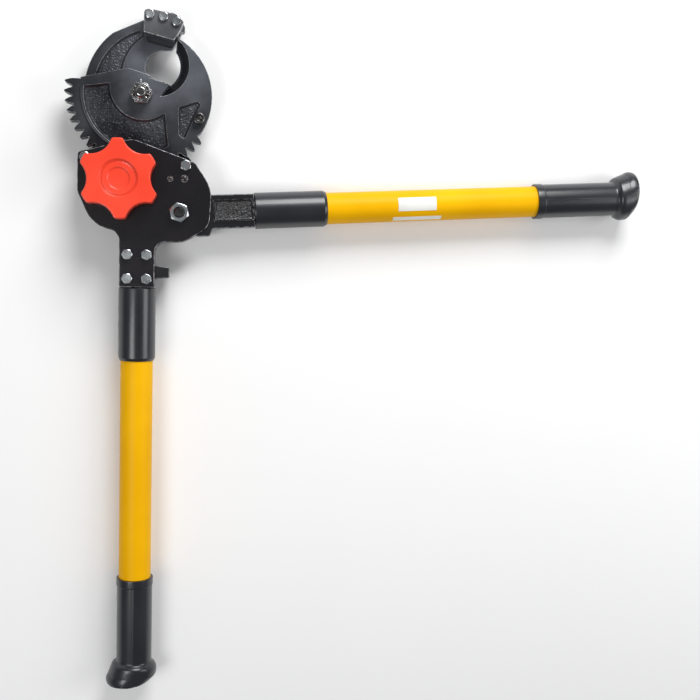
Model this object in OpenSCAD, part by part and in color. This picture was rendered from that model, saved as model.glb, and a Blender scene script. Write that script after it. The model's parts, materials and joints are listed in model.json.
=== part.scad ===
// Ratcheting cable cutter with a geared hook blade, a feed knob and two long handles.
// Drawn around the blade pivot: X to the right, Y toward the jaw tip, Z toward the knob.

/* [Blades] */
// Thickness of each blade
blade_t = 11.7; // [10:0.1:14]
// Gap between the faces of the two blades
blade_play = 0.3; // [0.2:0.1:0.6]
// Depth of the cast recesses in the blades
recess_depth = 2.5; // [1:0.5:4]
// Radius of the throat in the fixed blade
throat_r = 17.8; // [16:0.2:18.4]

/* [Gear] */
// Module of the gear teeth
tooth_module = 2.92; // [2.86:0.01:2.94]
// Teeth on the pinion
pinion_teeth = 11; // [11:1:12]
// Share of the pitch taken off each tooth for backlash
backlash = 0.06; // [0.04:0.01:0.12]
// Radius of the pinion shaft
shaft_r = 8; // [7:0.5:9]

/* [Pivots] */
// Diameter of the blade pivot bolt
pivot_d = 12; // [11:1:18]
// Diameter of the handle pivot bolt
handle_bolt_d = 10; // [8:1:14]
// Radial running clearance of every shaft and pin that turns
run_clear = 0.05; // [0.03:0.01:0.08]
// Wall of the bronze bushes
bush_wall = 2.5; // [2:0.25:3]

/* [Housing] */
// Thickness of the side plates
plate_t = 4; // [3:0.5:6]
// Width of the neck that holds the fixed handle
neck_w = 34; // [32:1:38]
// Diameter of the plate and neck bolts
plate_bolt_d = 6; // [5:0.5:6.5]
// Thickness of the blade guide plate
guide_t = 9; // [6:0.5:12]

/* [Knob] */
// Radius over the lobes of the knob
knob_r = 38; // [30:1:42]
// Height of the knob
knob_h = 22; // [16:1:28]
// Number of lobes on the knob
knob_lobes = 6; // [5:1:8]

/* [Handles] */
// Outer diameter of the handle tubes
tube_d = 32; // [28:1:40]
// Wall of the handle tubes
tube_wall = 2; // [1.5:0.5:4]
// Length of tube that shows between the sleeve and the grip
tube_show = 223; // [120:1:320]
// Length of the black sleeves
sleeve_l = 73; // [60:1:90]
// Wall of the sleeves
sleeve_wall = 2.3; // [1.5:0.1:4]
// Length of the end grips
grip_l = 113; // [90:1:140]
// Wall of the end grips
grip_wall = 1.7; // [1.2:0.1:4]
// Radius of the flared foot of a grip
foot_r = 25.8; // [25.4:0.2:28]
// Angle of the moving handle above the X axis
handle_angle = 4; // [0:0.5:6]

/* [Hidden] */
$fn = 64;
cut = 0.5;

// Layers along Z, from the shear plane between the blades
blade_low = blade_play / 2;
blade_top = blade_low + blade_t;
side_play = 0.15;
gap_half = blade_top + side_play;
plate_top = gap_half + plate_t;

// Gear and pinion
gear_teeth = 48;
pressure = 25;
pitch_angle = 360 / gear_teeth;
gear_r = tooth_module * gear_teeth / 2;
gear_tip_r = gear_r + tooth_module;
gear_root_r = gear_r - 1.5 * tooth_module;
pinion_r = tooth_module * pinion_teeth / 2;
first_tooth = -25;
last_tooth = -5;
mesh_angle = -103;
mesh_tooth = -105;
pinion_gap = mesh_angle + 180 - (mesh_tooth - mesh_angle) * gear_teeth / pinion_teeth;
shaft_at = (gear_r + pinion_r) * [cos(mesh_angle), sin(mesh_angle)];
shaft_bush_r = shaft_r + bush_wall;

// Knob, its bushes and its screw
bush_flange_t = 1.4;
knob_low = plate_top + 4.8;
knob_top = knob_low + knob_h;
boss_r = 13;
cap_r = 0.42 * knob_r;
cap_t = 2;
well_r = 9;
knob_screw_r = 2.5;
well_low = knob_top - 8;

// Blade pivot stack
pivot_r = pivot_d / 2;
blade_bore_r = pivot_r + bush_wall;
washer_t = 2.8;
pivot_head_h = 0.62 * pivot_d;
castle_hex_h = 0.75 * pivot_d;
castle_slot_h = 0.36 * pivot_d;
castle_low = blade_top + 0.2 + washer_t;
castle_top = castle_low + castle_hex_h + castle_slot_h;
cotter_r = 0.11 * pivot_d;
cotter_z = castle_top - castle_slot_h / 2;
foot_flat = gap_half + washer_t + pivot_head_h;

// Housing
handle_x = -3;
pivot_at = [37.5, -113];
handle_r = handle_bolt_d / 2;
hub_bore_r = handle_r + bush_wall;
hub_r = 26;
bolt_r = plate_bolt_d / 2;
bolt_head_w = 9.4;
bolt_head_h = 4;
bolt_clear = 0.2;
nut_h = 5;
nut_rim = 1;
neck_gap = 0.8;
spacer_r = bolt_r + 1.3;
plate_bolt_at = [[-53, -63], [43.4, -66.9]];
neck_pitch_x = 18.8;
neck_rows = [-155.4, -179.1];
neck_bolt_at = [for (y = neck_rows) each [[handle_x - neck_pitch_x / 2, y], [handle_x + neck_pitch_x / 2, y]]];
neck_end = -187.3;
neck_top = -150;
stop_tab = [[14, -165], [28.8, -167.3], [28.8, -177.5], [14, -179]];

// Jaws and guide
jaw_centre = [18.3, 2.4];
jaw_r = 73.9;
throat_at = [20.4, 27.7];
hook_at = [13.8, 30.4];
hook_r = 23;
hook_bevel_r = 32.5;
bevel_line = [[-12.8, 25.6], [19.9, 1.65]];
bevel_w = 11.8;
bevel_side = [0.591, 0.807];
guide_low = blade_top + 0.25;
guide_inner_r = 70.8;
guide_bolt_at = [[7.6, 74.6], [20.4, 73], [32.8, 69]];
guide_bolt_r = 2.5;
guide_head_w = 8;
guide_head_h = 3.5;
stop_screw_at = 59.3 * [cos(-20.5), sin(-20.5)];
stop_head_r = 5.5;
stop_head_h = 7;
stop_shank_r = 3.5;

// Pawls
pawl_split = blade_low + blade_t / 2;
pawl_play = 0.25;
drive_pin_at = pivot_at + 14 * [cos(151.8), sin(151.8)];
drive_pin_r = 3;
drive_angle = 100;
drive_reach = 31;
drive_slot_r = 8.6;
hold_pin_at = [28.5, -80.3];
hold_pin_r = 2.2;
post_at = [42.1, -79.7];
post_r = 3;
hold_gap = -63.75;
hold_depth = 2.8;
hold_swing = 19;
nose_l = 5;
nose_tip = 0.7;
nose_base = 1.8;
pawl_eye_r = 5.5;
spring_wire = 0.042 * blade_t;

// Handles, measured along their own axes from the level of the handle pivot
tube_r = tube_d / 2;
sleeve_from = 75.3;
sleeve_to = sleeve_from + sleeve_l;
grip_from = sleeve_to + tube_show;
grip_to = grip_from + grip_l;
fit_gap = 0.05;
spigot_r = tube_r - tube_wall - fit_gap;
spigot_to = sleeve_to - 8;
tube_from = sleeve_from + 5;
tube_to = grip_to - 28;
foot_offset = 2.4;
foot_tilt = -4;
foot_h = 8;
arm_w = 33.5;
arm_half_t = gap_half - 0.3;
label_t = 0.25;

// The frame sits under the middle of the whole cutter, on the surface it lies on
x_low = -gear_tip_r;
x_high = pivot_at[0] + grip_to * cos(handle_angle) + foot_offset;
y_low = pivot_at[1] - grip_to;
y_high = 80;
mid = [(x_low + x_high) / 2, (y_low + y_high) / 2];

module in_frame() translate([-mid[0], -mid[1], foot_flat]) children();

// Outline helpers: each corner is [x, y, radius]
function xy(p) = [p[0], p[1]];
function unit(v) = v / norm(v);
function polar(r, a) = r * [cos(a), sin(a)];
function turn(a) = a > 180 ? a - 360 : a < -180 ? a + 360 : a;
function arc(c, r, a, b, n = 24) = [for (i = [0 : n]) c + polar(r, a + (b - a) * i / n)];
function fillet(from, to, c, r) =
    let (a = atan2(from[1] - c[1], from[0] - c[0]),
         b = turn(atan2(to[1] - c[1], to[0] - c[0]) - a),
         n = ceil(abs(b) / 12))
    [for (i = [0 : n]) c + polar(r, a + b * i / n)];
function corner(p, q, s) =
    let (a = unit(xy(p) - xy(q)), b = unit(xy(s) - xy(q)), half = acos(a * b) / 2,
         room = 0.49 * min(norm(xy(p) - xy(q)), norm(xy(s) - xy(q))),
         reach = min(q[2] / tan(half), room), r = reach * tan(half))
    fillet(xy(q) + a * reach, xy(q) + b * reach, xy(q) + unit(a + b) * r / sin(half), r);
function rounded(p) = [for (i = [0 : len(p) - 1])
    each p[i][2] > 0 ? corner(p[(i + len(p) - 1) % len(p)], p[i], p[(i + 1) % len(p)]) : [xy(p[i])]];

// Involute teeth
function involute(a) = tan(a) * 180 / PI - a;
function half_tooth(r, teeth) =
    let (pitch_r = tooth_module * teeth / 2, base = pitch_r * cos(pressure))
    90 / teeth * (1 - backlash) + involute(pressure) - involute(acos(min(1, base / r)));
function flank(teeth, root, tip, side, a) =
    let (base = tooth_module * teeth / 2 * cos(pressure), low = max(root, base + 0.01), steps = 5)
    [for (i = [0 : steps]) let (r = low + (tip - low) * i / steps) polar(r, a + side * half_tooth(r, teeth))];
function flip(p) = [for (i = [len(p) - 1 : -1 : 0]) p[i]];
function tooth(teeth, root, tip, a) = concat(
    [polar(root, a - half_tooth(max(root, tooth_module * teeth / 2 * cos(pressure)), teeth))],
    flank(teeth, root, tip, -1, a),
    flip(flank(teeth, root, tip, 1, a)),
    [polar(root, a + half_tooth(max(root, tooth_module * teeth / 2 * cos(pressure)), teeth))]);

// Solids between two heights
module slab(low, high) translate([0, 0, low]) linear_extrude(high - low) children();
module rod(p, r, low, high) translate([p[0], p[1], low]) cylinder(r = r, h = high - low);
module hexagon(p, w, low, high) translate([p[0], p[1], low]) cylinder(d = w / cos(30), h = high - low, $fn = 6);

module housing_outline() {
    left = handle_x - neck_w / 2;
    right = handle_x + neck_w / 2;
    polygon(rounded([[-60, -58.3, 3], [-60, -96, 18], [-46, -127, 30], [left, -134, 12], [left, neck_end, 1.5],
        [right, neck_end, 1.5], [right, -142, 11], [42, -142, 20], [67, -126, 16], [69, -88, 32],
        [52, -63.5, 8], [-8, -43.3, 14]]));
}

module plate_holes(low, high) {
    for (p = concat(plate_bolt_at, neck_bolt_at)) rod(p, bolt_r + bolt_clear, low, high);
    rod(shaft_at, shaft_bush_r, low, high);
    rod(pivot_at, handle_r + bolt_clear, low, high);
}

module front_plate() {
    color([0.13, 0.12, 0.13]) in_frame() difference() {
        slab(gap_half, plate_top) housing_outline();
        plate_holes(gap_half - cut, plate_top + cut);
        rod(hold_pin_at, hold_pin_r, gap_half - cut, plate_top + cut);
        rod(post_at, post_r, gap_half - cut, plate_top + cut);
    }
}

module rear_plate() {
    color([0.13, 0.12, 0.13]) in_frame() difference() {
        slab(-plate_top, -gap_half) housing_outline();
        plate_holes(-plate_top - cut, -gap_half + cut);
    }
}

module jaw_outline() {
    polygon(concat(
        rounded([[40.5, 64, 2], [41, 71, 5], [33, 77, 9], [8, 80, 3], [1, 76.8, 3]]),
        arc(jaw_centre, jaw_r, 129, 206, 30),
        rounded([[-46, -50, 6], [-59, -59, 3], [-59, -72, 6], [-46, -106, 12], [-6, -122, 8], [9, -112, 8],
            [10, -86, 8], [33, -76, 6], [49, -74, 5], [49, -60, 5], [40, -52, 8], [24, -14, 8],
            [21, 8, 8], [throat_at[0] - 4, 12, 3]]),
        arc(throat_at, throat_r, 218, 82, 24),
        [[28.4, 46.6]]));
}

module fixed_blade() {
    color([0.42, 0.44, 0.46]) in_frame() difference() {
        slab(-gap_half, -blade_low) jaw_outline();
        rod([0, 0], pivot_r + bolt_clear, -gap_half - cut, 0);
        for (p = plate_bolt_at) rod(p, bolt_r + bolt_clear, -gap_half - cut, 0);
        for (p = guide_bolt_at) rod(p, guide_bolt_r, -gap_half - cut, 0);
        rod(shaft_at, shaft_r + 1, -gap_half - cut, 0);
        // Ground back of the throat
        translate([throat_at[0], throat_at[1], -gap_half - cut])
            cylinder(r1 = throat_r + 9, r2 = throat_r - 1.2, h = gap_half);
        // Cast crescent recess
        slab(-blade_low - recess_depth, cut) intersection() {
            difference() {
                translate([17, 2.7]) circle(r = 63.8, $fn = 96);
                translate([26.8, 18.9]) circle(r = 46.4, $fn = 96);
                circle(r = 30);
            }
            polygon([[1.5, 72], [1.5, 50], [-10, 4], [-60, 4], [-60, 72]]);
        }
        // Relief slot under the guide
        slab(-blade_low - recess_depth - 0.5, cut)
            polygon(rounded([[3.8, 60, 1.5], [3.8, 53.6, 2.8], [28.2, 48.6, 1.2], [34, 57.5, 1.5], [33, 61, 1]]));
    }
}

module blade_outline() {
    polygon(concat(
        [[34, 58]],
        arc([4.7, 0.3], 63.3, 60, -33, 30),
        [for (i = [last_tooth : -1 : first_tooth]) each flip(tooth(gear_teeth, gear_root_r, gear_tip_r, i * pitch_angle))],
        rounded([[-65.7, 11.5, 0.8], [-18.2, 23.5, 6], [-12.8, 24.4, 0.5], [3, 20.5, 8], [12.4, 16.7, 6]]),
        arc(hook_at, hook_r, -56, 36, 20)));
}

module bevel_wedge(a, b, w) {
    d = b - a;
    translate([a[0], a[1], 0]) rotate([0, 0, atan2(d[1], d[0])]) rotate([90, 0, 90])
        linear_extrude(norm(d)) polygon([[0, blade_low + 1], [cut, blade_low + 1], [cut, blade_top + cut], [-w, blade_top + cut]]);
}

module moving_blade() {
    color([0.36, 0.38, 0.4]) in_frame() difference() {
        slab(blade_low, blade_top) blade_outline();
        rod([0, 0], blade_bore_r, 0, blade_top + cut);
        rod(stop_screw_at, stop_shank_r, 0, blade_top + cut);
        // Ground bevel behind the cutting edge
        intersection() {
            translate([hook_at[0], hook_at[1], blade_low + 1])
                cylinder(r1 = hook_r - 0.05, r2 = hook_bevel_r, h = blade_t);
            slab(blade_low, blade_top + 2)
                polygon([[-1, -27], bevel_line[1] + bevel_w * bevel_side, hook_at, [hook_at[0], 80], [80, 80], [80, -27]]);
        }
        bevel_wedge(bevel_line[1] + bevel_w * bevel_side, bevel_line[0] + bevel_w * bevel_side, bevel_w);
        // Cast recess between the hub and the toothed rim
        slab(blade_top - recess_depth, blade_top + cut) intersection() {
            difference() {
                circle(r = 55, $fn = 96);
                translate([0.9, 6.9]) circle(r = 31.2);
            }
            polygon([[-60, 4.5], [-28, 10], [-20, -10], [0, -20], [22.5, -17], [27.5, -62], [-70, -62]]);
        }
        // Three-cornered pocket beside the stop screw
        slab(blade_top - recess_depth, blade_top + cut)
            polygon(rounded([[35.5, -10.5, 1.5], [60.5, -1, 3.5], [51.5, -18, 9], [42, -41.5, 4.5], [36.3, -37, 3]]));
    }
}

module blade_bush() {
    color([0.72, 0.55, 0.3]) in_frame() difference() {
        rod([0, 0], blade_bore_r, blade_low, blade_top);
        rod([0, 0], pivot_r + run_clear, 0, blade_top + cut);
    }
}

module pivot_bolt() {
    color([0.35, 0.35, 0.36]) in_frame() difference() {
        union() {
            hexagon([0, 0], 1.58 * pivot_d, -foot_flat, -foot_flat + pivot_head_h);
            rod([0, 0], pivot_r, -foot_flat + 1, castle_top + 0.5);
            translate([0, 0, castle_top + 0.5]) cylinder(r1 = pivot_r, r2 = pivot_r - 2, h = 2);
        }
        translate([0, 0, cotter_z]) rotate([90, 0, 0]) cylinder(r = cotter_r + 0.2, h = 3 * pivot_d, center = true);
    }
}

module pivot_washers() {
    color([0.4, 0.4, 0.42]) in_frame() for (low = [-gap_half - washer_t, castle_low - washer_t]) difference() {
        rod([0, 0], 0.74 * pivot_d, low, low + washer_t);
        rod([0, 0], pivot_r + bolt_clear, low - cut, low + washer_t + cut);
    }
}

module castle_nut() {
    color([0.45, 0.44, 0.43]) in_frame() difference() {
        union() {
            hexagon([0, 0], 1.58 * pivot_d, castle_low, castle_low + castle_hex_h);
            rod([0, 0], 0.7 * pivot_d, castle_low + 1, castle_top);
        }
        rod([0, 0], pivot_r + fit_gap, castle_low - cut, castle_top + cut);
        for (a = [0, 60, 120]) translate([0, 0, castle_top - castle_slot_h / 2 + cut]) rotate([0, 0, a])
            cube([2 * cotter_r, 2 * pivot_d, castle_slot_h + 2 * cut], center = true);
    }
}

module cotter_pin() {
    long = 0.7 * pivot_d + 0.6;
    color([0.5, 0.48, 0.45]) in_frame() translate([0, 0, cotter_z]) {
        rotate([90, 0, 0]) translate([0, 0, -long]) cylinder(r = cotter_r, h = 2 * long);
        translate([0, long + 1.2, 0]) rotate([0, 90, 0]) rotate_extrude() translate([1.8, 0]) circle(r = 0.7, $fn = 24);
    }
}

module stop_screw() {
    color([0.75, 0.73, 0.68]) in_frame() difference() {
        union() {
            rod(stop_screw_at, stop_shank_r, blade_low + 0.5, blade_top + 1);
            rod(stop_screw_at, stop_head_r, blade_top, blade_top + stop_head_h);
        }
        hexagon(stop_screw_at, 5, blade_top + 3, blade_top + stop_head_h + cut);
    }
}

module guide_outline() {
    polygon(rounded([[2, 57.6, 1], [2, 79, 5], [8, 80, 3], [33, 77, 9], [40, 70, 4], [36.6, 61, 3], [30.6, 51.5, 1]]));
}

module blade_guide() {
    color([0.5, 0.52, 0.53]) in_frame() difference() {
        slab(guide_low, guide_low + guide_t) guide_outline();
        for (p = guide_bolt_at) rod(p, guide_bolt_r + bolt_clear, guide_low - cut, guide_low + guide_t + cut);
    }
}

module guide_spacer() {
    color([0.32, 0.33, 0.35]) in_frame() difference() {
        slab(-blade_low, guide_low) difference() {
            guide_outline();
            circle(r = guide_inner_r, $fn = 128);
        }
        for (p = guide_bolt_at) rod(p, guide_bolt_r + bolt_clear, -blade_low - cut, guide_low + cut);
    }
}

module guide_bolts() {
    top = guide_low + guide_t;
    color([0.8, 0.8, 0.8]) in_frame() for (p = guide_bolt_at) union() {
        rod(p, guide_bolt_r, -gap_half + 1, top + 1);
        hexagon(p, guide_head_w, top, top + guide_head_h);
    }
}

module plate_spacers() {
    color([0.3, 0.3, 0.3]) in_frame() for (p = plate_bolt_at) difference() {
        rod(p, spacer_r, -blade_low, gap_half);
        rod(p, bolt_r + bolt_clear, -blade_low - cut, gap_half + cut);
    }
}

module plate_bolts() {
    color([0.75, 0.76, 0.77]) in_frame() for (p = concat(plate_bolt_at, neck_bolt_at)) union() {
        rod(p, bolt_r, -plate_top - nut_h - nut_rim, plate_top + 1);
        hexagon(p, bolt_head_w, plate_top, plate_top + bolt_head_h);
    }
}

module plate_nuts() {
    color([0.75, 0.76, 0.77]) in_frame() for (p = concat(plate_bolt_at, neck_bolt_at)) difference() {
        hexagon(p, bolt_head_w, -plate_top - nut_h, -plate_top);
        rod(p, bolt_r + fit_gap, -plate_top - nut_h - cut, -plate_top + cut);
    }
}

module pinion_shaft() {
    color([0.6, 0.6, 0.62]) in_frame() difference() {
        union() {
            translate([shaft_at[0], shaft_at[1], blade_low + 0.2]) rotate([0, 0, pinion_gap + 180 / pinion_teeth])
                linear_extrude(blade_t - 0.4) polygon([for (i = [0 : pinion_teeth - 1])
                    each tooth(pinion_teeth, pinion_r - 1.25 * tooth_module, pinion_r + tooth_module, i * 360 / pinion_teeth)]);
            rod(shaft_at, shaft_r, -plate_top - 4, well_low);
        }
        translate([shaft_at[0], shaft_at[1], -plate_top - 3]) rotate_extrude()
            translate([shaft_r - 1, 0]) square([2, 1.4]);
        rod(shaft_at, knob_screw_r, knob_low, knob_top);
    }
}

module shaft_bushes() {
    color([0.72, 0.55, 0.3]) in_frame() for (s = [-1, 1]) difference() {
        union() {
            rod(shaft_at, shaft_bush_r, s < 0 ? -plate_top : gap_half, s < 0 ? -gap_half : plate_top);
            rod(shaft_at, shaft_bush_r + 2, s < 0 ? -plate_top - bush_flange_t : plate_top,
                s < 0 ? -plate_top : plate_top + bush_flange_t);
        }
        rod(shaft_at, shaft_r + run_clear, -2 * plate_top, 2 * plate_top);
    }
}

module shaft_clip() {
    color([0.4, 0.4, 0.4]) in_frame() difference() {
        rod(shaft_at, shaft_r + 3, -plate_top - 2.9, -plate_top - 1.7);
        rod(shaft_at, shaft_r - 0.9, -plate_top - 4, -plate_top);
        translate([shaft_at[0] + shaft_r, shaft_at[1], -plate_top - 2]) cube([2 * shaft_r, 5, 4], center = true);
    }
}

module knob_outline() {
    lobe = 360 / knob_lobes;
    difference() {
        circle(r = knob_r, $fn = 96);
        for (i = [0 : knob_lobes - 1]) rotate(i * lobe + 62)
            translate([1.32 * knob_r, 0]) circle(r = 0.54 * knob_r, $fn = 64);
    }
}

module knob() {
    color([0.93, 0.3, 0.2]) in_frame() translate([shaft_at[0], shaft_at[1], 0]) difference() {
        union() {
            slab(knob_low, knob_top) knob_outline();
            rod([0, 0], boss_r, plate_top + bush_flange_t + 0.4, knob_low + 1);
        }
        rod([0, 0], shaft_r + fit_gap, plate_top, well_low);
        rod([0, 0], well_r, well_low - cut, knob_top);
        rod([0, 0], cap_r + fit_gap, knob_top - cap_t - 1, knob_top + cut);
    }
}

module knob_screw() {
    color([0.6, 0.6, 0.6]) in_frame() difference() {
        union() {
            rod(shaft_at, knob_screw_r - fit_gap, knob_low + 1, well_low + 1);
            rod(shaft_at, 7, well_low, well_low + 4);
        }
        hexagon(shaft_at, 5, well_low + 1.5, well_low + 4 + cut);
    }
}

module knob_cap() {
    color([0.93, 0.32, 0.22]) in_frame()
        rod(shaft_at, cap_r, knob_top - cap_t - 1, knob_top - 1);
}

module handle_bolt() {
    color([0.6, 0.6, 0.6]) in_frame() union() {
        hexagon(pivot_at, 1.7 * handle_bolt_d, -plate_top - 1.5 - 0.46 * handle_bolt_d, -plate_top - 1.5);
        rod(pivot_at, handle_r, -plate_top - 2, plate_top + 1.5 + 0.85 * handle_bolt_d);
    }
}

module handle_nut() {
    color([0.78, 0.79, 0.8]) in_frame() difference() {
        hexagon(pivot_at, 1.7 * handle_bolt_d, plate_top + 1.5, plate_top + 1.5 + 0.65 * handle_bolt_d);
        rod(pivot_at, handle_r + fit_gap, plate_top, plate_top + 2 * handle_bolt_d);
    }
}

module handle_washers() {
    color([0.7, 0.7, 0.7]) in_frame() for (low = [-plate_top - 1.5, plate_top]) difference() {
        rod(pivot_at, 0.85 * handle_bolt_d, low, low + 1.5);
        rod(pivot_at, handle_r + bolt_clear, low - cut, low + 1.5 + cut);
    }
}

module hub_bush() {
    color([0.72, 0.55, 0.3]) in_frame() difference() {
        rod(pivot_at, hub_bore_r, -arm_half_t, arm_half_t);
        rod(pivot_at, handle_r + run_clear, -gap_half, gap_half);
    }
}

// Pieces along a handle: local X runs out along the handle, local Y to its outer side
module along_moving() in_frame() translate([pivot_at[0], pivot_at[1], 0]) rotate([0, 0, handle_angle]) children();
module along_fixed() in_frame() translate([handle_x, pivot_at[1], 0]) rotate([0, 0, -90]) mirror([0, 1, 0]) children();
module bar(r, from, to) translate([from, 0, 0]) rotate([0, 90, 0]) cylinder(r = r, h = to - from);

module moving_arm() {
    panel = 15.5;
    color([0.1, 0.1, 0.11]) difference() {
        along_moving() difference() {
            union() {
                slab(-arm_half_t, arm_half_t) union() {
                    circle(r = hub_r);
                    polygon(rounded([[0, arm_w / 2, 0], [0, -arm_w / 2, 0], [17, -24, 4], [29, -24, 3], [32, -arm_w / 2, 3],
                        [sleeve_from - 0.5, -arm_w / 2, 1], [sleeve_from - 0.5, arm_w / 2, 1]]));
                }
                bar(spigot_r, sleeve_from - 1, spigot_to);
            }
            // Cast panels on both faces
            for (s = [-1, 1]) translate([(panel + sleeve_from) / 2 + 8, 1, s * arm_half_t])
                cube([sleeve_from - panel - 22, arm_w - 14, 3], center = true);
        }
        in_frame() {
            rod(pivot_at, hub_bore_r, -gap_half, gap_half);
            rod(drive_pin_at, drive_pin_r, -gap_half, gap_half);
            // Slot for the drive pawl
            rod(drive_pin_at, drive_slot_r, blade_low + pawl_play / 2, pawl_split);
            slab(blade_low + pawl_play / 2, pawl_split) translate(drive_pin_at)
                polygon(concat([[0, 0]], arc([0, 0], 40, drive_angle - 33, drive_angle + 131, 12)));
            // Well for the coils of its spring
            rod(drive_pin_at, drive_pin_r + 2.2, pawl_split - cut, arm_half_t - 1.5);
        }
    }
}

module drive_pawl() {
    color([0.5, 0.5, 0.52]) in_frame() difference() {
        slab(blade_low + pawl_play, pawl_split - pawl_play) translate(drive_pin_at) union() {
            circle(r = pawl_eye_r);
            rotate(drive_angle) polygon([[0, -pawl_eye_r + 1], [0.7 * drive_reach, -4], [drive_reach, -1.2],
                [drive_reach, 1.2], [0.6 * drive_reach, 4], [0, pawl_eye_r - 1]]);
        }
        rod(drive_pin_at, drive_pin_r + run_clear, 0, pawl_split);
    }
}

module drive_pawl_pin() {
    color([0.7, 0.7, 0.7]) in_frame() rod(drive_pin_at, drive_pin_r, -arm_half_t, arm_half_t);
}

module coil(p, r, low, turns) {
    for (i = [0 : turns - 1]) translate([p[0], p[1], low + (2 * i + 1) * 1.02 * spring_wire])
        rotate_extrude() translate([r, 0]) circle(r = spring_wire, $fn = 16);
}

module drive_pawl_spring() {
    color([0.7, 0.7, 0.72]) in_frame() coil(drive_pin_at, drive_pin_r + 1, pawl_split + 0.3, 3);
}

// Drawn with its nose in a tooth gap, then swung back clear of the teeth
module holding_pawl() {
    tip = polar(gear_tip_r - hold_depth, hold_gap);
    heel = polar(gear_tip_r - hold_depth + nose_l, hold_gap);
    side = polar(1, hold_gap + 90);
    lean = atan2(heel[1] - hold_pin_at[1], heel[0] - hold_pin_at[0]);
    color([0.5, 0.5, 0.52]) in_frame() translate(hold_pin_at) rotate(-hold_swing) translate(-hold_pin_at) difference() {
        slab(pawl_split + pawl_play, blade_top - 0.1) polygon(concat(
            [heel - nose_base * side, tip - nose_tip * side, tip + nose_tip * side, heel + nose_base * side],
            arc(hold_pin_at, pawl_eye_r, lean - 75, lean - 285)));
        rod(hold_pin_at, hold_pin_r + run_clear, 0, gap_half);
    }
}

module holding_pawl_pin() {
    color([0.75, 0.75, 0.75]) in_frame() rod(hold_pin_at, hold_pin_r, pawl_split + pawl_play, plate_top + 0.6);
}

module spring_post() {
    color([0.75, 0.75, 0.75]) in_frame() rod(post_at, post_r, pawl_split + pawl_play, plate_top + 0.6);
}

module holding_pawl_spring() {
    color([0.7, 0.7, 0.72]) in_frame() coil(post_at, post_r + 0.6, pawl_split + 0.8, 4);
}

module fixed_fitting() {
    left = handle_x - neck_w / 2;
    color([0.12, 0.12, 0.13]) difference() {
        union() {
            in_frame() slab(-gap_half, gap_half) union() {
                translate([left, neck_end - neck_gap]) square([neck_w, neck_top - neck_end + neck_gap]);
                polygon(stop_tab);
            }
            along_fixed() bar(spigot_r, pivot_at[1] - neck_end + neck_gap / 2, spigot_to);
        }
        in_frame() for (p = neck_bolt_at) rod(p, bolt_r + bolt_clear, -gap_half - cut, gap_half + cut);
    }
}

module sleeve() {
    difference() {
        union() {
            bar(tube_r + sleeve_wall, sleeve_from, sleeve_to - 3);
            translate([sleeve_to - 3, 0, 0]) rotate([0, 90, 0])
                cylinder(r1 = tube_r + sleeve_wall, r2 = tube_r + 0.8, h = 3);
        }
        bar(tube_r + fit_gap, tube_from - fit_gap, sleeve_to + cut);
        bar(spigot_r + 2 * fit_gap, sleeve_from - cut, tube_from + cut);
    }
}

module tube() {
    difference() {
        bar(tube_r, tube_from, tube_to);
        bar(tube_r - tube_wall, tube_from - cut, tube_to + cut);
    }
}

module grip() {
    grip_r = tube_r + grip_wall;
    intersection() {
        difference() {
            union() {
                bar(grip_r, grip_from + 8, grip_to - 14);
                bar(grip_r + 0.7, grip_from, grip_from + 8);
                translate([grip_to - foot_h - 1, foot_offset, 0]) rotate([0, 0, foot_tilt]) {
                    translate([-13, 0, 0]) rotate([0, 90, 0]) cylinder(r1 = grip_r + 2.2, r2 = foot_r, h = 10.5);
                    translate([-2.5, 0, 0]) rotate([0, 90, 0]) cylinder(r = foot_r, h = 4.5);
                    translate([2, 0, 0]) rotate([0, 90, 0]) cylinder(r1 = foot_r, r2 = foot_r - 4, h = foot_h - 2);
                }
            }
            bar(tube_r + fit_gap, grip_from - cut, tube_to + fit_gap);
        }
        translate([0, -2 * foot_r, -foot_flat]) cube([2 * grip_to, 4 * foot_r, 2 * foot_flat]);
    }
}

module fixed_sleeve() color([0.15, 0.16, 0.18]) along_fixed() sleeve();
module fixed_tube() color([0.95, 0.72, 0.05]) along_fixed() tube();
module fixed_grip() color([0.13, 0.14, 0.16]) along_fixed() grip();
module moving_sleeve() color([0.15, 0.16, 0.18]) along_moving() sleeve();
module moving_tube() color([0.95, 0.72, 0.05]) along_moving() tube();
module moving_grip() color([0.13, 0.14, 0.16]) along_moving() grip();

module label(from, to, a, b) {
    translate([from, 0, 0]) rotate([0, 90, 0]) rotate([0, 0, a]) rotate_extrude(angle = b - a)
        translate([tube_r + fit_gap, 0]) square([label_t, to - from]);
}

module tube_labels() {
    color([0.9, 0.9, 0.88]) along_moving() {
        label(sleeve_to + 73, sleeve_to + 113, 152, 202);
        label(sleeve_to + 68, sleeve_to + 119, 227, 247);
    }
}

fixed_blade();
moving_blade();
blade_bush();
pivot_bolt();
pivot_washers();
castle_nut();
cotter_pin();
stop_screw();
blade_guide();
guide_spacer();
guide_bolts();
front_plate();
rear_plate();
plate_spacers();
plate_bolts();
plate_nuts();
pinion_shaft();
shaft_bushes();
shaft_clip();
knob();
knob_screw();
knob_cap();
handle_bolt();
handle_nut();
handle_washers();
hub_bush();
moving_arm();
drive_pawl();
drive_pawl_pin();
drive_pawl_spring();
holding_pawl();
holding_pawl_pin();
spring_post();
holding_pawl_spring();
fixed_fitting();
fixed_sleeve();
fixed_tube();
fixed_grip();
moving_sleeve();
moving_tube();
moving_grip();
tube_labels();
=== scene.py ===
import bmesh, bpy, json, math
from mathutils import Matrix, Vector, noise


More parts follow.
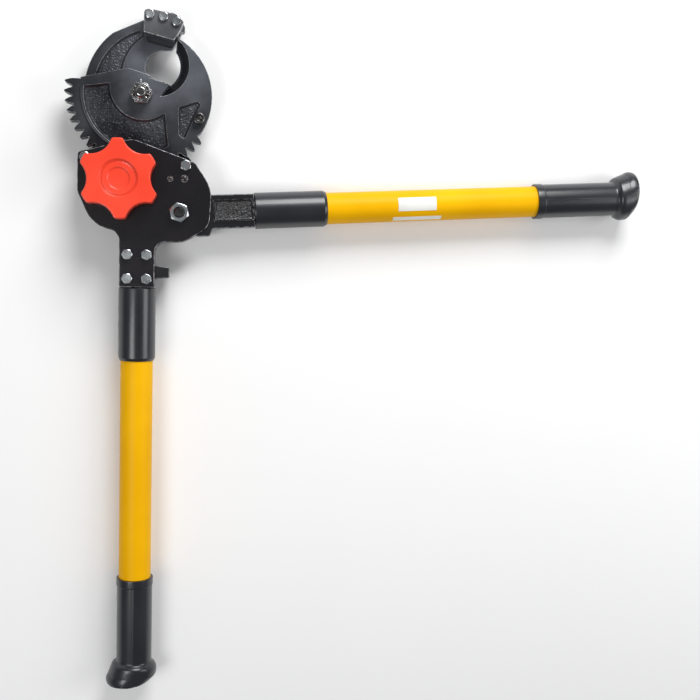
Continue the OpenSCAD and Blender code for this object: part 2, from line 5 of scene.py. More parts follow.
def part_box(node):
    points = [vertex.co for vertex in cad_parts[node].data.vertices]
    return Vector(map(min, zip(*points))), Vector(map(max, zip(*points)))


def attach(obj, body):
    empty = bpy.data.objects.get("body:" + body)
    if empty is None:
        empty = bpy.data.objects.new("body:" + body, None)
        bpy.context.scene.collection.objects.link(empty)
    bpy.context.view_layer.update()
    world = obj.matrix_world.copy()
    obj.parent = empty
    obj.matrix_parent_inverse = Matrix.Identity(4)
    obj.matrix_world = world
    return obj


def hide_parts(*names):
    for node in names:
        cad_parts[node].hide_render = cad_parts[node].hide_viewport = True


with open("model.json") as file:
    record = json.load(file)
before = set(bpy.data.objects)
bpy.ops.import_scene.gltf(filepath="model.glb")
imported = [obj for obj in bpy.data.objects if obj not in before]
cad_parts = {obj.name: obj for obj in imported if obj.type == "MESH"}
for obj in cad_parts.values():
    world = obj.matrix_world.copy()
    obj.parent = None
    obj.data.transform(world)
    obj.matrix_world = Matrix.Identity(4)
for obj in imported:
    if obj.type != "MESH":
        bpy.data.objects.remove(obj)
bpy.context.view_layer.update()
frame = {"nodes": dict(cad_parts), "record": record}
print("frame loaded")

mm = 0.001
spots = {joint["name"]: Vector(joint["pos_m"]) for joint in frame["record"]["behaviour"]["joints"]}
hub = spots["blade_pivot"]          # blade pivot at the shear plane between the blades
lift = hub.z / mm                   # height of the shear plane over the floor


def at(x, y, z=0.0):
    return hub + Vector((x, y, z)) * mm


def upright(x, y):
    return Matrix.Translation(at(x, y)) @ Matrix.Scale(mm, 4)


def flatSpot(name):
    # a joint's place, in millimetres from the blade pivot
    gap = (spots[name] - hub) / mm
    return gap.x, gap.y


def span(node):
    # lowest and highest point of a node, in millimetres over the shear plane
    low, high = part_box(node)
    return (low.z - hub.z) / mm, (high.z - hub.z) / mm


def middle(node):
    low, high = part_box(node)
    return ((low + high) / 2 - hub) / mm


# finishes
class Wire:
    # an output socket that can be added, taken away and multiplied
    def __init__(self, look, socket):
        self.look, self.socket = look, socket

    def maths(self, kind, first, second):
        return self.look.add("ShaderNodeMath", {"operation": kind}, {0: first, 1: second})

    def __add__(self, other):
        return self.maths("ADD", self, other)

    __radd__ = __add__

    def __mul__(self, other):
        return self.maths("MULTIPLY", self, other)

    __rmul__ = __mul__

    def __sub__(self, other):
        return self.maths("SUBTRACT", self, other)

    def __rsub__(self, other):
        return self.maths("SUBTRACT", other, self)


class Look:
    def __init__(self, name, **fixed):
        self.material = bpy.data.materials.new(name)
        self.material.use_nodes = True
        self.tree = self.material.node_tree
        self.shader = self.tree.nodes["Principled BSDF"]
        for key, value in fixed.items():
            self.shader.inputs[key.replace("_", " ")].default_value = value
        self.place = self.add("ShaderNodeTexCoord", {}, {}, "Object")
        # edge mark: lightens bevelled edges, partly real wear, partly painted highlight lines
        self.wearAndHighlight = self.add("ShaderNodeAttribute", {"attribute_name": "wearAndHighlight"}, {}, "Fac")

    def add(self, kind, settings, inputs, output=0):
        node = self.tree.nodes.new(kind)
        for key, value in settings.items():
            setattr(node, key, value)
        for key, value in inputs.items():
            if isinstance(value, Wire):
                self.tree.links.new(value.socket, node.inputs[key])
            else:
                node.inputs[key].default_value = value
        return Wire(self, node.outputs[output])

    def noise(self, scale, detail=2.0, stretch=None):
        place = self.place
        if stretch:
            place = self.add("ShaderNodeMapping", {}, {"Vector": place, "Scale": stretch})
        return self.add("ShaderNodeTexNoise", {}, {"Vector": place, "Scale": scale, "Detail": detail},
                        "Fac")

    def spread(self, wire, low, high):
        return self.add("ShaderNodeMapRange", {}, {"Value": wire, "From Min": low, "From Max": high})

    def mix(self, share, first, second):
        colours = [c if isinstance(c, Wire) else (*c, 1) for c in (first, second)]
        return self.add("ShaderNodeMix", {"data_type": "RGBA"}, {0: share, 6: colours[0], 7: colours[1]}, 2)

    def finish(self, colour, rough=None, bump=None, depth=0.1, strength=0.3):
        if bump is not None:
            inputs = {"Height": bump, "Strength": strength, "Distance": depth * mm}
            bump = self.add("ShaderNodeBump", {}, inputs)
        for key, value in (("Base Color", colour), ("Roughness", rough), ("Normal", bump)):
            if value is not None:
                self.tree.links.new(value.socket, self.shader.inputs[key])
        return self.material


def steelLook(name, dark, light, edge, rough, metal=0.85, grain=0.3, streak=None, throatSheen=0.0):
    # the last argument sets a painted pool of light, a sheen that lightens the steel's colour round the throat
    look = Look(name, Metallic=metal)
    blotch = look.spread(look.noise(26, 3), 0.32, 0.68)
    fine = look.noise(650, 4, streak)
    specks = look.spread(look.noise(1500, 2), 0.55, 0.75)
    base = look.mix(blotch, dark, light)
    base = look.mix(specks * 0.25, base, [c * 1.8 for c in light])
    # painted pool of light: the colour is lightened near the throat and fades with distance
    if throatSheen:
        throat = at(20, 28)
        reach = look.add("ShaderNodeVectorMath", {"operation": "DISTANCE"}, {0: look.place, 1: throat},
                         "Value")
        near = look.spread(reach, 0.068, 0.026) * (0.45 + blotch * 0.55)
        base = look.mix(near * throatSheen, base, [min(1, c * 3.2) for c in light])
    # bevelled edges take the edge colour: partly real wear, partly painted highlight
    edgeWearAndHighlight = look.wearAndHighlight * look.spread(look.noise(320, 3), 0.3, 0.62)
    base = look.mix(edgeWearAndHighlight * 0.8, base, edge)
    gloss = rough + blotch * 0.1 + fine * 0.12 - edgeWearAndHighlight * 0.12
    return look.finish(base, gloss, bump=fine + specks * 0.4, depth=0.25, strength=grain)


def paintLook(name, dark, light, edge, rough, coat=0.0, peel=0.12, dust=0.15,
              shine=0.45):
    look = Look(name, Coat_Weight=coat, Coat_Roughness=0.12, Specular_IOR_Level=shine)
    blotch = look.spread(look.noise(14, 3), 0.35, 0.65)
    skin = look.noise(420, 2)
    grit = look.spread(look.noise(900, 4), 0.6, 0.78)
    base = look.mix(blotch, dark, light)
    base = look.mix(grit * dust, base, [min(1, c * 1.6 + 0.03) for c in light])
    # bevelled edges take the edge colour: partly real wear, partly painted highlight
    edgeWearAndHighlight = look.wearAndHighlight * look.spread(look.noise(210, 4), 0.38, 0.66)
    base = look.mix(edgeWearAndHighlight, base, edge)
    gloss = rough + blotch * 0.06 + grit * 0.1 - edgeWearAndHighlight * 0.06
    return look.finish(base, gloss, bump=skin + grit * 0.3, depth=0.2, strength=peel)


# each finish's third colour tints bevelled edges: partly real wear, partly painted edge highlight
finishes = {
    # forged and cast steel get a painted pool of light round the throat
    "forged": steelLook("forgedSteel", (0.011, 0.012, 0.015), (0.050, 0.054, 0.062), (0.40, 0.41, 0.43),
                        rough=0.27, metal=0.6, grain=0.25, throatSheen=0.8),
    "cast": steelLook("pebbleCast", (0.009, 0.010, 0.013), (0.040, 0.043, 0.050), (0.3, 0.3, 0.3),
                      rough=0.24, metal=0.6, grain=0.5, throatSheen=0.7),
    "ground": steelLook("groundBevel", (0.018, 0.019, 0.024), (0.05, 0.052, 0.06), (0.5, 0.5, 0.5),
                        rough=0.2, metal=0.8, grain=0.12),
    "guide": steelLook("guideSteel", (0.085, 0.088, 0.093), (0.15, 0.153, 0.16), (0.6, 0.6, 0.6), rough=0.3,
                       metal=0.8, grain=0.25, streak=(1, 0.12, 1)),
    "zinc": steelLook("zincPlate", (0.36, 0.38, 0.40), (0.58, 0.61, 0.62), (0.92, 0.94, 0.95), rough=0.16,
                      metal=1.0, grain=0.15),
    "nut": steelLook("castleSteel", (0.05, 0.047, 0.047), (0.15, 0.145, 0.145), (0.9, 0.9, 0.9), rough=0.18,
                     metal=1.0, grain=0.2),
    "dark": steelLook("phosphateSteel", (0.03, 0.03, 0.033), (0.07, 0.07, 0.075), (0.35, 0.35, 0.35),
                      rough=0.38, metal=0.9, grain=0.2),
    "bronze": steelLook("bushBronze", (0.40, 0.24, 0.10), (0.58, 0.38, 0.17), (0.75, 0.55, 0.3), rough=0.28,
                        metal=1.0, grain=0.15),
    "wire": steelLook("springWire", (0.32, 0.33, 0.34), (0.5, 0.51, 0.52), (0.7, 0.7, 0.7), rough=0.22,
                      metal=1.0, grain=0.1),
    "plate": paintLook("blackPaint", (0.0035, 0.003, 0.0045), (0.008, 0.0065, 0.009), (0.42, 0.41, 0.43),
                       rough=0.2, coat=0.35),
    "arm": paintLook("armPaint", (0.004, 0.0042, 0.005), (0.012, 0.0125, 0.015), (0.20, 0.20, 0.22),
                     rough=0.22, coat=0.4, peel=0.25),
    "knob": paintLook("knobPlastic", (0.82, 0.052, 0.022), (0.90, 0.072, 0.034), (0.97, 0.22, 0.13),
                      rough=0.3, coat=0.25, peel=0.05, dust=0.04, shine=0.3),
    "rubber": paintLook("sleeveRubber", (0.006, 0.0075, 0.011), (0.011, 0.013, 0.018), (0.05, 0.053, 0.06),
                        rough=0.3, coat=0.25, peel=0.15, dust=0.1, shine=0.55),
    "yellow": paintLook("yellowPaint", (0.80, 0.40, 0.0), (0.87, 0.46, 0.0), (0.92, 0.55, 0.01), rough=0.4,
                        coat=0.0, peel=0.05, dust=0.02, shine=0.10),
    "label": paintLook("labelFilm", (0.70, 0.70, 0.66), (0.80, 0.80, 0.77), (0.9, 0.9, 0.9), rough=0.4,
                       coat=0.2, peel=0.03, dust=0.05),
}
print("finishes made")


# mesh helpers
def piece(bm, name, body, finish, nodes=(), sharp=38, extra=()):
    bm.normal_update()
    mesh = bpy.data.meshes.new(name)
    bm.to_mesh(mesh)
    bm.free()
    for key in (finish, *extra):
        mesh.materials.append(finishes[key])
    for face in mesh.polygons:
        face.use_smooth = True
    mesh.set_sharp_from_angle(angle=math.radians(sharp))
    obj = bpy.data.objects.new(name, mesh)
    bpy.context.scene.collection.objects.link(obj)
    normals = obj.modifiers.new("evenNormals", "WEIGHTED_NORMAL")
    normals.keep_sharp = True
    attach(obj, body)
    if nodes:
        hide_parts(*nodes)
    return obj


def softened(node, width, segments=2, limit=30):
    # a merged copy of a node with its hard edges rounded, and the rounded strips marked for edge wear and
    # painted edge highlights
    bm = bmesh.new()
    bm.from_mesh(frame["nodes"][node].data)
    bmesh.ops.remove_doubles(bm, verts=bm.verts, dist=2e-6)
    bmesh.ops.dissolve_limit(bm, angle_limit=math.radians(0.4), verts=bm.verts, edges=bm.edges)
    large = [face for face in bm.faces if len(face.verts) > 4]
    bmesh.ops.triangulate(bm, faces=large, quad_method="BEAUTY", ngon_method="BEAUTY")
    hard = [e for e in bm.edges if len(e.link_faces) == 2 and e.calc_face_angle(0) > math.radians(limit)]
    # this mark on the strips feeds edge wear and painted edge highlights in the finishes
    wearAndHighlight = bm.loops.layers.float.new("wearAndHighlight")
    strips = bmesh.ops.bevel(bm, geom=hard, offset=width * mm, offset_type="OFFSET", segments=segments,
                             profile=0.5, affect="EDGES", clamp_overlap=False, material=-1)["faces"]
    for face in strips:
        for loop in face.loops:
            loop[wearAndHighlight] = 1.0
    return bm


def stack(bm, rings, steps=64, closed=False):
    # a circle extruded from ring to ring; a ring is (radius, height), each a number or a function of the angle
    ring = bmesh.ops.create_circle(bm, cap_ends=not closed, radius=1.0, segments=steps)["verts"]
    added, edges = list(ring), list({e for v in ring for e in v.link_edges})
    for i, (radius, height) in enumerate(rings + rings[:1] if closed else rings):
        if i:
            grown = bmesh.ops.extrude_edge_only(bm, edges=edges)["geom"]
            ring = [g for g in grown if isinstance(g, bmesh.types.BMVert)]
            edges = [g for g in grown if isinstance(g, bmesh.types.BMEdge)]
            added += ring
        for v in ring:
            a = math.atan2(v.co.y, v.co.x)
            r = radius(a) if callable(radius) else radius
            z = height(a) if callable(height) else height
            v.co = Vector((math.cos(a) * r, math.sin(a) * r, z))
    if closed:
        bmesh.ops.remove_doubles(bm, verts=added, dist=1e-5)
        added = [v for v in added if v.is_valid]
    else:
        bmesh.ops.contextual_create(bm, geom=edges)
    return added


def turned(name, body, finish, nodes, rings, places, steps=64, closed=False, sharp=38):
    bm = bmesh.new()
    for matrix in places:
        verts = stack(bm, rings, steps, closed)
        bmesh.ops.transform(bm, matrix=matrix, verts=verts)
    bmesh.ops.recalc_face_normals(bm, faces=bm.faces)
    return piece(bm, name, body, finish, nodes, sharp)


def hexRadius(width, turn=0.0):
    return lambda a: width / 2 / math.cos((a + turn) % (math.pi / 3) - math.pi / 6)


def hexRings(width, low, high, cutLow=False, turn=0.0, inner=None):
    # a hexagon whose corners are cut by a shallow cone on its upper face, and on its lower face if asked
    flat, edge = width / 2 * 0.95, hexRadius(width, turn)
    drop = lambda a: max(0.0, edge(a) - flat) * 0.5
    rings = [(flat, low), (edge, lambda a: low + drop(a) * cutLow), (edge, lambda a: high - drop(a)),
             (flat, high)]
    if inner:
        rings = [(inner, low)] + rings + [(inner + 0.5, high), (inner, high - 0.5)]
    return rings


def inShape(x, y, corners):
    # distance in from a polygon's sides, below zero outside it
    inside, near = False, 1e9
    for (ax, ay), (bx, by) in zip(corners, corners[1:] + corners[:1]):
        if (ay > y) != (by > y) and x < (bx - ax) * (y - ay) / (by - ay) + ax:
            inside = not inside
        t = ((x - ax) * (bx - ax) + (y - ay) * (by - ay)) / ((bx - ax) ** 2 + (by - ay) ** 2)
        t = max(0.0, min(1.0, t))
        near = min(near, math.hypot(x - ax - t * (bx - ax), y - ay - t * (by - ay)))
    return near if inside else -near


def pebbles(name, body, low, high, floor, inward, matrix, finish="cast", facing=1, bumps=0.9,
            size=1.9, pitch=0.45, slope=2.2, rise=2.1):
    # a bed of small cast pebbles that fills a recess
    # inward gives the distance in from the recess's walls, and the bed rises near them
    bm = bmesh.new()
    across, along = high[0] - low[0], high[1] - low[1]
    bmesh.ops.create_grid(bm, x_segments=int(across / pitch), y_segments=int(along / pitch), size=0.5)
    for v in bm.verts:
        x, y = low[0] + (v.co.x + 0.5) * across, low[1] + (v.co.y + 0.5) * along
        spots = noise.voronoi(Vector((x / size, y / size, floor * 7.0)))[0]
        dome = 1 - min(1.0, spots[0] * 1.25) ** 2
        grit = noise.noise(Vector((x * 1.7, y * 1.7, 3.0))) * 0.15
        up = max(0.0, min(1.0, 1 - inward(x, y) / slope))
        up = up * up * (3 - 2 * up)
        v.co = Vector((x, y, floor + facing * ((dome * bumps * 0.6 + grit) * (1 - up) + rise * up)))
    tuck = 0.6  # how far the bed runs into the walls
    outside = [v for v in bm.verts if inward(v.co.x, v.co.y) < -tuck]
    bmesh.ops.delete(bm, geom=outside, context="VERTS")
    bmesh.ops.transform(bm, matrix=matrix, verts=bm.verts)
    if facing < 0:
        bmesh.ops.reverse_faces(bm, faces=bm.faces)
    return piece(bm, name, body, finish, sharp=80)


# blades
bladeSizes = {
    "edge": 0.45, "recess": 2.5,
    "crescentOuter": (17, 2.7, 63.8), "crescentInner": (26.8, 18.9, 46.4), "hubRound": 30,
    "recessRound": 55, "hubBoss": (0.9, 6.9, 31.2),
    "beadRound": 57.4, "beadThick": 1.25, "beadFrom": 176, "beadTo": 284,
}
bladeLow, bladeTop = span("moving_blade")


def awayFrom(x, y, circle):
    return math.hypot(x - circle[0], y - circle[1]) - circle[2]


def inCrescent(x, y):
    s = bladeSizes
    return min(-awayFrom(x, y, s["crescentOuter"]), awayFrom(x, y, s["crescentInner"]),
               math.hypot(x, y) - s["hubRound"], y - 4, 1.5 + min(0, (y - 50) * 0.25) - x)


def inRecess(x, y):
    s = bladeSizes
    return min(s["recessRound"] - math.hypot(x, y), awayFrom(x, y, s["hubBoss"]), 22.5 - (y + 17) / 9 - x,
               4.5 + (x + 60) * 0.17 - y)


def groundFaces(bm, finishIndex, low, high):
    # sloping faces between two heights take the ground finish
    for face in bm.faces:
        face.normal_update()
        height = (face.calc_center_median().z - hub.z) / mm
        if 0.15 < abs(face.normal.z) < 0.97 and low < height < high and face.calc_area() > 2e-6:
            face.material_index = finishIndex


bm = softened("fixed_blade", bladeSizes["edge"])
groundFaces(bm, 1, -12, -0.2)
piece(bm, "fixedJaw", "housing", "forged", ["fixed_blade"], extra=("ground",))
jawBed = -0.15 - bladeSizes["recess"] - 0.1
pebbles("fixedJawPebbles", "housing", (-55, 0), (6, 62), jawBed, inCrescent, upright(0, 0))

bm = softened("moving_blade", 0.35)
groundFaces(bm, 1, 0.8, bladeTop - 0.4)
piece(bm, "hookBlade", "moving_blade", "forged", ["moving_blade"], extra=("ground",))
bladeBed = bladeTop - bladeSizes["recess"] - 0.1
pebbles("hookBladePebbles", "moving_blade", (-58, -58), (32, 14), bladeBed, inRecess,
        upright(0, 0))
pocket = [(35.5, -10.5), (59.5, -1.6), (51.5, -18), (42, -41.5), (36.3, -37)]
pebbles("pocketPebbles", "moving_blade", (34, -44), (63, 2), bladeBed,
        lambda x, y: inShape(x, y, pocket), upright(0, 0))

# raised bead along the toothed rim
bm = bmesh.new()
ring = bmesh.ops.create_circle(bm, cap_ends=False, radius=bladeSizes["beadThick"] * mm,
                               segments=12)["verts"]
beadStart, beadEnd = math.radians(bladeSizes["beadFrom"]), math.radians(bladeSizes["beadTo"])
outTo = Matrix.Translation((bladeSizes["beadRound"] * mm, 0, 0)) @ Matrix.Rotation(math.radians(90), 4, "X")
move = Matrix.Translation(at(0, 0, bladeTop - 0.2)) @ Matrix.Rotation(beadStart, 4, "Z") @ outTo
bmesh.ops.transform(bm, matrix=move, verts=ring)
bmesh.ops.spin(bm, geom=list(bm.verts) + list(bm.edges), cent=at(0, 0, bladeTop), axis=(0, 0, 1), steps=60,
               angle=beadEnd - beadStart, use_duplicate=False, use_merge=False)
bmesh.ops.holes_fill(bm, edges=[e for e in bm.edges if e.is_boundary], sides=0)
bmesh.ops.recalc_face_normals(bm, faces=bm.faces)
piece(bm, "rimBead", "moving_blade", "forged")

piece(softened("blade_guide", 0.7, 3), "bladeGuide", "housing", "guide", ["blade_guide"])
piece(softened("guide_spacer", 0.4), "guideSpacer", "housing", "dark", ["guide_spacer"])
print("blades made")

# housing
piece(softened("front_plate", 0.55), "frontPlate", "housing", "plate", ["front_plate"])
piece(softened("rear_plate", 0.55), "rearPlate", "housing", "plate", ["rear_plate"])
piece(softened("fixed_fitting", 0.9), "neckFitting", "housing", "arm", ["fixed_fitting"])
piece(softened("castle_nut", 0.45), "castleNut", "housing", "nut", ["castle_nut"])
piece(softened("pivot_bolt", 0.5), "pivotBolt", "housing", "nut", ["pivot_bolt"])
piece(softened("pivot_washers", 0.4), "pivotWashers", "housing", "nut", ["pivot_washers"])
print("housing made")

# bolts
boltSizes = {"width": 9.4, "head": 4, "shank": 3, "guideWidth": 8, "guideHead": 3.5, "guideShank": 2.5}
plateTop = span("front_plate")[1]
guideTop = span("blade_guide")[1]
neckX, neckPitch = -3, 9.4
plateBolts = [(-53, -63), (43.4, -66.9)]
plateBolts += [(neckX + side, y) for y in (-155.4, -179.1) for side in (-neckPitch, neckPitch)]
guideBolts = [(7.6, 74.6), (20.4, 73), (32.8, 69)]


def bolts(name, places, nodes, width, head, shank, low, seat):
    # hexagon bolts, each turned a little further than the last, with a shallow dish in the head
    bm = bmesh.new()
    for i, (x, y) in enumerate(places):
        turn = i * 0.5
        rings = [(shank - 0.6, low), (shank, low + 0.6), (shank, seat - 0.2), (shank + 0.2, seat)]
        rings += hexRings(width, seat, seat + head, turn=turn)
        top = seat + head
        rings += [(width * 0.40, top), (width * 0.36, top - 0.35), (width * 0.10, top - 0.45)]
        verts = stack(bm, rings, 48)
        bmesh.ops.transform(bm, matrix=upright(x, y), verts=verts)
    bmesh.ops.recalc_face_normals(bm, faces=bm.faces)
    return piece(bm, name, "housing", "zinc", nodes, sharp=24)


s = boltSizes
bolts("plateBolts", plateBolts, ["plate_bolts"], s["width"], s["head"], s["shank"],
      span("plate_bolts")[0], plateTop)
bolts("guideBolts", guideBolts, ["guide_bolts"], s["guideWidth"], s["guideHead"], s["guideShank"],
      span("guide_bolts")[0], guideTop)
low, high = span("plate_nuts")
turned("plateNuts", "housing", "zinc", ["plate_nuts"],
       hexRings(s["width"], low, high, cutLow=True, inner=s["shank"] + 0.05),
       [upright(x, y) for x, y in plateBolts], 48, closed=True, sharp=24)
handleX, handleY = flatSpot("handle_pivot")
low, high = span("handle_nut")
turned("handleNut", "housing", "zinc", ["handle_nut"],
       hexRings(17, low, high, inner=5.05, turn=0.3),
       [upright(handleX, handleY)], 96, closed=True, sharp=24)
low, high = span("handle_bolt")
turned("handleBolt", "housing", "nut", ["handle_bolt"],
       hexRings(17, low, low + 4.6, cutLow=True)[:-1] + [(5, low + 4.6), (5, plateTop + 2)]
       + [(5 - 0.45 * (i % 2), plateTop + 2 + i * 0.5) for i in range(int((high - plateTop - 3) / 0.5))]
       + [(4.6, high - 0.6), (4.0, high)], [upright(handleX, handleY)], 64, sharp=24)
low, high = span("stop_screw")
screw = middle("stop_screw")
rings = [(3.4, bladeTop - 3), (3.5, bladeTop), (5.1, bladeTop), (5.5, bladeTop + 0.5), (5.5, high - 0.9),
         (5.2, high - 0.3), (4.6, high), (3.3, high), (3.1, high - 0.3), (hexRadius(5.2), high - 0.8),
         (hexRadius(5.2), high - 3.8), (0.6, high - 4.4)]
turned("stopScrew", "moving_blade", "nut", ["stop_screw"], rings, [upright(screw.x, screw.y)], 72,
       sharp=24)
for node in ("holding_pawl_pin", "spring_post"):
    low, high = span(node)
    boxLow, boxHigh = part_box(node)
    spot, r = middle(node), (boxHigh.x - boxLow.x) / 2 / mm
    rings = [(r - 0.4, low), (r, low + 0.3), (r, high - 1.2), (r * 0.9, high - 0.6), (r * 0.66, high - 0.2),
             (r * 0.3, high)]
    turned(node + "Domed", "housing", "nut", [node], rings, [upright(spot.x, spot.y)], 48, sharp=60)
print("bolts made")

# knob
knobSizes = {"round": 38, "lobes": 6, "biteAt": 1.32, "bite": 0.54, "turn": 62, "boss": 13, "bore": 8.05,
             "well": 16.2, "soft": 1.1}
knobX, knobY = flatSpot("knob_spin")
knobLow, knobTop = span("knob")


def lobe(inset):
    s = knobSizes

    def radius(a):
        step = 2 * math.pi / s["lobes"]
        off = (a - math.radians(s["turn"]) + step / 2) % step - step / 2
        far, bite = s["biteAt"] * s["round"], s["bite"] * s["round"]
        inner = bite ** 2 - (far * math.sin(off)) ** 2
        cutAt = far * math.cos(off) - math.sqrt(inner) if inner > 0 else s["round"] + 9
        k = s["soft"]
        return -math.log(math.exp(-k * cutAt) + math.exp(-k * (s["round"] + 0.1))) / k - inset
    return radius


shelf = knobLow + 3.0
s = knobSizes
rings = [(s["bore"], knobLow), (s["boss"], knobLow), (s["boss"], shelf), (lobe(2.2), shelf),
         (lobe(0.6), shelf + 0.5),
         (lobe(0.0), shelf + 2.0), (lobe(0.0), knobTop - 1.5), (lobe(0.12), knobTop - 0.9),
         (lobe(0.5), knobTop - 0.35),
         (lobe(1.1), knobTop - 0.04), (lobe(1.8), knobTop), (18.6, knobTop), (18.1, knobTop - 0.15),
         (17.1, knobTop - 1.4), (16.6, knobTop - 1.55), (s["well"], knobTop - 1.5),
         (s["well"], knobTop - 3), (9, knobTop - 3),
         (9, knobTop - 8), (s["bore"], knobTop - 8)]
turned("feedKnob", "knob", "knob", ["knob"], rings, [upright(knobX, knobY)], 180,
       closed=True)
low, high = span("knob_cap")
rings = [(15.5, low), (15.9, low + 0.4), (15.9, high - 0.6), (15.5, high - 0.35), (14.9, high - 0.3),
         (11.0, high - 0.25),
         (10.5, high - 0.35), (9.8, high - 1.1), (9.3, high - 1.2), (4, high - 1.15)]
turned("knobCap", "knob", "knob", ["knob_cap"], rings, [upright(knobX, knobY)], 96)
piece(softened("pinion_shaft", 0.25), "pinionShaft", "knob", "dark", ["pinion_shaft"])
print("knob made")

# handles
handleSizes = {
    "tube": 16, "wall": 2, "angle": 4, "fixedX": -3,
    "sleeveFrom": 75.3, "sleeveTo": 148.3, "sleeve": 18.3,
    "gripFrom": 371.3, "gripTo": 484.3, "grip": 17.7, "collar": 18.4, "tubeTo": 456.3,
}
s = handleSizes
outward = Matrix.Rotation(math.radians(90), 4, "Y")
alongMoving = upright(handleX, handleY) @ Matrix.Rotation(math.radians(s["angle"]), 4, "Z") @ outward
alongFixed = upright(s["fixedX"], handleY) @ Matrix.Rotation(math.radians(-90), 4, "Z") @ outward
handles = [("moving", "moving_handle", alongMoving, 1), ("fixed", "housing", alongFixed, -1)]
tubeFrom = s["sleeveFrom"] + 5


footRings = [  # outer side: distance from the end and swell over the grip, then the same for the inner side
    (26.0, 0.0, 26.0, 0.0), (25.0, 0.25, 24.8, 0.2), (24.4, 1.3, 23.6, 0.9), (24.0, 2.8, 22.3, 2.1),
    (23.2, 4.1, 20.8, 3.5), (21.5, 5.1, 19.0, 4.6), (17.0, 6.8, 16.8, 5.2), (12.6, 8.5, 14.6, 5.2),
    (12.1, 8.2, 13.6, 4.7), (11.4, 8.3, 12.9, 4.6), (10.9, 9.1, 12.3, 5.0), (9.0, 10.1, 10.6, 4.5),
    (7.2, 10.5, 9.2, 3.5), (5.0, 10.3, 7.6, 1.8), (3.4, 9.8, 6.2, -0.1), (2.2, 8.8, 4.8, -2.2),
    (1.5, 7.0, 3.6, -4.6), (1.0, 3.0, 1.9, -9.0), (0.3, -10.0, 0.5, -14.0),
]


def between(outer, inner, side, most=1e6):
    # from one value on the outer side to another on the inner side, kept low where it rests on the ground
    extra = max(0.0, (outer + inner) / 2 - most)
    return lambda a: inner + (outer - inner) * (1 + side * math.sin(a)) / 2 - extra * math.cos(a) ** 2


def seamed(radius):
    # a fine moulding seam along the upper and lower side
    return lambda a: radius + 0.3 * max(0.0, 1 - abs(math.sin(a)) / 0.04)


for label, body, matrix, side in handles:
    r, w = s["tube"], s["sleeve"]
    rings = [(13.95, s["sleeveFrom"]), (w - 0.8, s["sleeveFrom"]), (w - 0.2, s["sleeveFrom"] + 0.25),
             (w, s["sleeveFrom"] + 0.9), (w, s["sleeveTo"] - 3.4), (w - 0.3, s["sleeveTo"] - 2.6),
             (r + 0.9, s["sleeveTo"] - 0.3), (r + 0.4, s["sleeveTo"]), (r + 0.05, s["sleeveTo"]),
             (r + 0.05, tubeFrom - 0.05), (13.95, tubeFrom - 0.05)]
    turned(label + "Sleeve", body, "rubber", [label + "_sleeve"], rings, [matrix], 96,
           closed=True)
    rings = [(r - s["wall"], tubeFrom), (r - 0.3, tubeFrom), (r, tubeFrom + 0.3), (r, s["tubeTo"] - 0.3),
             (r - 0.3, s["tubeTo"]), (r - s["wall"], s["tubeTo"])]
    turned(label + "Tube", body, "yellow", [label + "_tube"], rings, [matrix], 128, closed=True)
    g, c, f, end = s["grip"], s["collar"], s["gripFrom"], s["gripTo"]
    rings = [(r + 0.05, s["tubeTo"] + 0.05), (r + 0.05, f), (c - 0.7, f), (c - 0.15, f + 0.25),
             (c, f + 0.8),
             (c, f + 7.2), (c - 0.1, f + 7.7), (g + 0.1, f + 8.1), (seamed(g), f + 8.5),
             (seamed(g), end - 60),
             (seamed(g), end - 28)]
    rings += [(between(g + big, g + small, side, lift - 0.1), between(end - far, end - near, side))
              for far, big, near, small in footRings]
    bm = bmesh.new()
    stack(bm, rings, 144)
    for v in bm.verts:
        v.co.x = max(-lift, min(lift, v.co.x))
    bmesh.ops.transform(bm, matrix=matrix, verts=bm.verts)
    bmesh.ops.recalc_face_normals(bm, faces=bm.faces)
    piece(bm, label + "Grip", body, "rubber", [label + "_grip"])

piece(softened("moving_arm", 1.0, 3), "handleArm", "moving_handle", "arm", ["moving_arm"])
armLow, armHigh = span("moving_arm")
for side, height in ((1, armHigh), (-1, armLow)):
    swing = Matrix.Rotation(math.radians(handleSizes["angle"]), 4, "Z")
    pebbles("armPebblesFront" if side > 0 else "armPebblesRear", "moving_handle",
            (33.5, -9.5), (73.5, 11.5),
            height - side * 1.6, lambda x, y: min(x - 34.9, 71.9 - x, y + 8.25, 10.25 - y),
            upright(handleX, handleY) @ swing, finish="arm", facing=side, bumps=1.5, size=1.25, pitch=0.33,
            slope=1.2, rise=1.2)
print("handles made")

# kept nodes
kept = {
    "bronze": ["blade_bush", "shaft_bushes", "hub_bush"],
    "dark": ["plate_spacers", "shaft_clip", "knob_screw", "drive_pawl", "holding_pawl"],
    "zinc": ["handle_washers", "drive_pawl_pin", "cotter_pin"],
    "wire": ["drive_pawl_spring", "holding_pawl_spring"],
    "label": ["tube_labels"],
}
for finish, names in kept.items():
    for name in names:
        mesh = frame["nodes"][name].data
        if not mesh.materials:
            mesh.materials.append(None)
        for i in range(len(mesh.materials)):
            mesh.materials[i] = finishes[finish]
print("kept nodes finished")

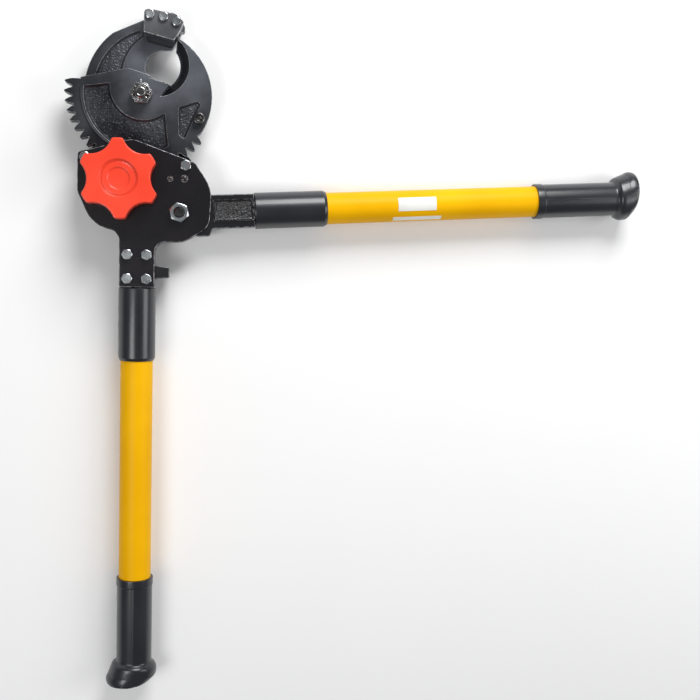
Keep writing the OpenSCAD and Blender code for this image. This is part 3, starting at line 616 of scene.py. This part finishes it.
# floor, light and camera
stageSizes = {"floor": 6, "lens": 49.8, "eye": (48.6, -162.7, 993.5), "aim": (214.7, -248.0, 0),
              "up": (-0.0134, 0.996, -0.088)}
bm = bmesh.new()
bmesh.ops.create_grid(bm, x_segments=1, y_segments=1, size=stageSizes["floor"] / 2)
mesh = bpy.data.meshes.new("floor")
bm.to_mesh(mesh)
bm.free()
floor = bpy.data.objects.new("floor", mesh)
look = Look("paleFloor", Roughness=0.7, Specular_IOR_Level=0.2)
floorTone = look.mix(look.noise(3, 2), (0.87, 0.87, 0.87), (0.90, 0.90, 0.90))
mesh.materials.append(look.finish(floorTone))
bpy.context.scene.collection.objects.link(floor)

world = bpy.data.worlds.new("studio")
bpy.context.scene.world = world
world.use_nodes = True
world.node_tree.nodes["Background"].inputs["Color"].default_value = (0.97, 0.98, 1.0, 1)
world.node_tree.nodes["Background"].inputs["Strength"].default_value = 0.22

lights = [  # name, place, aim, size, watts
    ("keyLight", (0.20, 1.15, 0.85), (0.0, 0.05, 0.0), 0.7, 19.0),
    ("sideLight", (1.05, 0.05, 0.85), (0.0, 0.0, 0.0), 0.7, 6.0),
    ("fillLight", (-0.72, -0.25, 1.05), (0.0, -0.1, 0.0), 0.5, 5.0),
]
for name, place, aim, size, watts in lights:
    lamp = bpy.data.lights.new(name, "AREA")
    lamp.shape, lamp.size, lamp.energy = "SQUARE", size, watts
    obj = bpy.data.objects.new(name, lamp)
    obj.location = place
    obj.rotation_euler = (Vector(aim) - Vector(place)).to_track_quat("-Z", "Y").to_euler()
    bpy.context.scene.collection.objects.link(obj)

camera = bpy.data.cameras.new("camera")
camera.lens, camera.sensor_width = stageSizes["lens"], 36
camera.clip_start, camera.clip_end = 0.05, 20
eye, aim = at(*stageSizes["eye"]), at(*stageSizes["aim"])
back = (eye - aim).normalized()
right = Vector(stageSizes["up"]).cross(back).normalized()
obj = bpy.data.objects.new("camera", camera)
obj.matrix_world = Matrix.Translation(eye) @ Matrix((right, back.cross(right), back)).transposed().to_4x4()
bpy.context.scene.collection.objects.link(obj)
bpy.context.scene.camera = obj
bpy.context.scene.view_settings.view_transform = "Standard"
print("floor, light and camera made")
